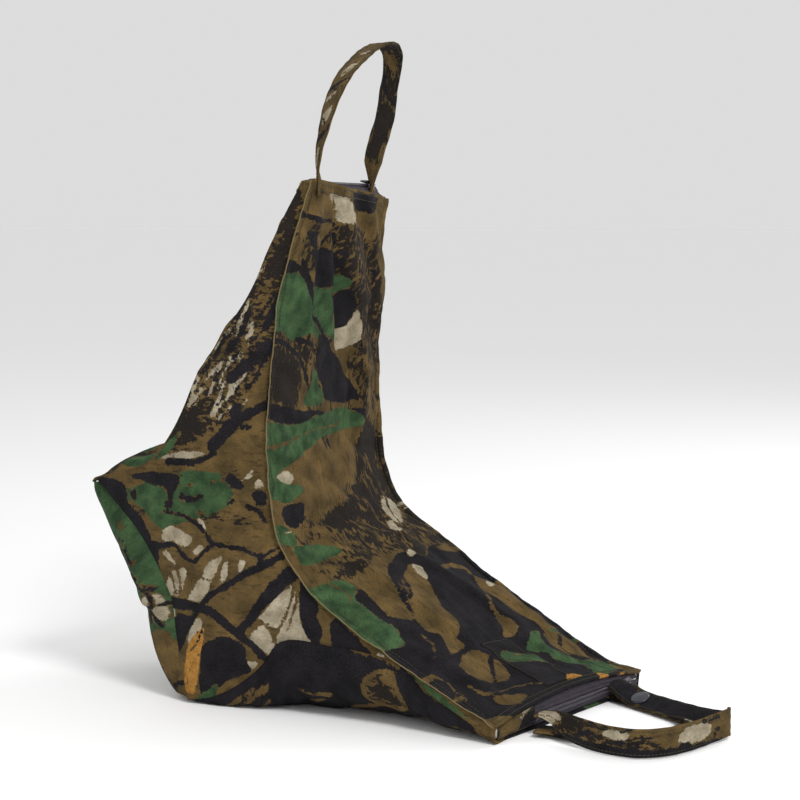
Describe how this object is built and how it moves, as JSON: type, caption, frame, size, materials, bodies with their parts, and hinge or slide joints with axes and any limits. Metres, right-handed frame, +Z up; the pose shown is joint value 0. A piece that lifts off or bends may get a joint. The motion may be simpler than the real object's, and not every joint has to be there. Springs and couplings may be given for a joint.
{
  "type": "camera bean bag",
  "caption": "Camouflage cloth bean bag with a blunt head limb and two flat zipped limbs that straddle a rail, with strap handles.",
  "frame": {"origin": "on the flat underside, under the middle of the bag", "axes": "+Z up, +X from the head towards the lying limb, +Y from the near side panel to the far one"},
  "size_m": [0.4774, 0.203, 0.4979],
  "materials": {
    "camo_cloth": "cotton canvas, woodland print",
    "camo_strap": "the same cloth folded into a strap and stitched",
    "zip_tape": "woven polyester tape",
    "zip_coil": "nylon coil",
    "zip_metal": "painted zinc",
    "snap_cap": "semi-matt enamel",
    "snap_metal": "blackened brass",
    "beads": "loose pellets"
  },
  "bodies": {
    "root": {"back_panel": "camo_cloth", "saddle_panel": "camo_cloth", "belly_panel": "camo_cloth", "head_panel": "camo_cloth", "near_side_panel": "camo_cloth", "far_side_panel": "camo_cloth", "near_saddle_seam": "camo_cloth", "far_saddle_seam": "camo_cloth", "bean_fill": "beads", "saddle_facing": "camo_cloth", "upper_back_hem": "camo_cloth", "upper_saddle_hem": "camo_cloth", "lower_saddle_hem": "camo_cloth", "lower_belly_hem": "camo_cloth", "lower_zip_tape_saddle": "zip_tape", "lower_zip_tape_belly": "zip_tape", "lower_zip_coil_saddle": "zip_coil", "lower_zip_coil_belly": "zip_coil", "lower_zip_bottom_stop": "zip_metal", "lower_zip_top_stops": "zip_metal", "lower_zip_end_tab": "camo_cloth", "upper_zip_tape_saddle": "zip_tape", "upper_zip_tape_back": "zip_tape", "upper_zip_coil_saddle": "zip_coil", "upper_zip_coil_back": "zip_coil", "upper_zip_bottom_stop": "zip_metal", "upper_zip_top_stops": "zip_metal", "upper_zip_end_tab": "camo_cloth"},
    "upper_handle": {"upper_handle": "camo_strap"},
    "lower_handle": {"lower_handle": "camo_strap", "snap_cap": "snap_cap", "snap_socket": "snap_metal"},
    "lower_under_handle": {"lower_under_handle": "camo_strap", "snap_stud": "snap_metal", "snap_eyelet": "snap_metal"},
    "lower_slider": {"lower_zip_slider": "zip_metal"},
    "lower_pull": {"lower_zip_pull": "zip_metal"},
    "upper_slider": {"upper_zip_slider": "zip_metal"},
    "upper_pull": {"upper_zip_pull": "zip_metal"}
  },
  "joints": [
    {"name": "upper_handle_swing", "type": "hinge", "parent": "root", "child": "upper_handle", "pos_m": [-0.03521, 0.00156, 0.3881], "axis": [0.2607, -0.9654, 0], "range_deg": [-50, 50]},
    {"name": "lower_handle_lift", "type": "hinge", "parent": "root", "child": "lower_handle", "pos_m": [0.14997, -0.00036, 0.0191], "axis": [-0.1435, -0.9897, 0], "range_deg": [0, 85]},
    {"name": "lower_under_handle_lift", "type": "hinge", "parent": "root", "child": "lower_under_handle", "pos_m": [0.14997, -0.00036, 0.0019], "axis": [-0.1435, -0.9897, 0], "range_deg": [0, 38.25]},
    {"name": "lower_slider_travel", "type": "slide", "parent": "root", "child": "lower_slider", "axis": [0.1435, 0.9897, 0], "range_m": [-0.1175, 0]},
    {"name": "lower_pull_swing", "type": "hinge", "parent": "lower_slider", "child": "lower_pull", "pos_m": [0.16088, 0.07485, 0.0095], "axis": [0, 0, 1], "range_deg": [0, 160]},
    {"name": "upper_slider_travel", "type": "slide", "parent": "root", "child": "upper_slider", "axis": [0.2607, -0.9654, 0], "range_m": [0, 0.1175]},
    {"name": "upper_pull_swing", "type": "hinge", "parent": "upper_slider", "child": "upper_pull", "pos_m": [-0.06081, 0.07337, 0.3875], "axis": [-0.9654, -0.2607, 0], "range_deg": [0, 150]}
  ],
  "couplings": [
    {"joint": "lower_under_handle_lift", "follows": "lower_handle_lift", "ratio": 0.45}
  ]
}
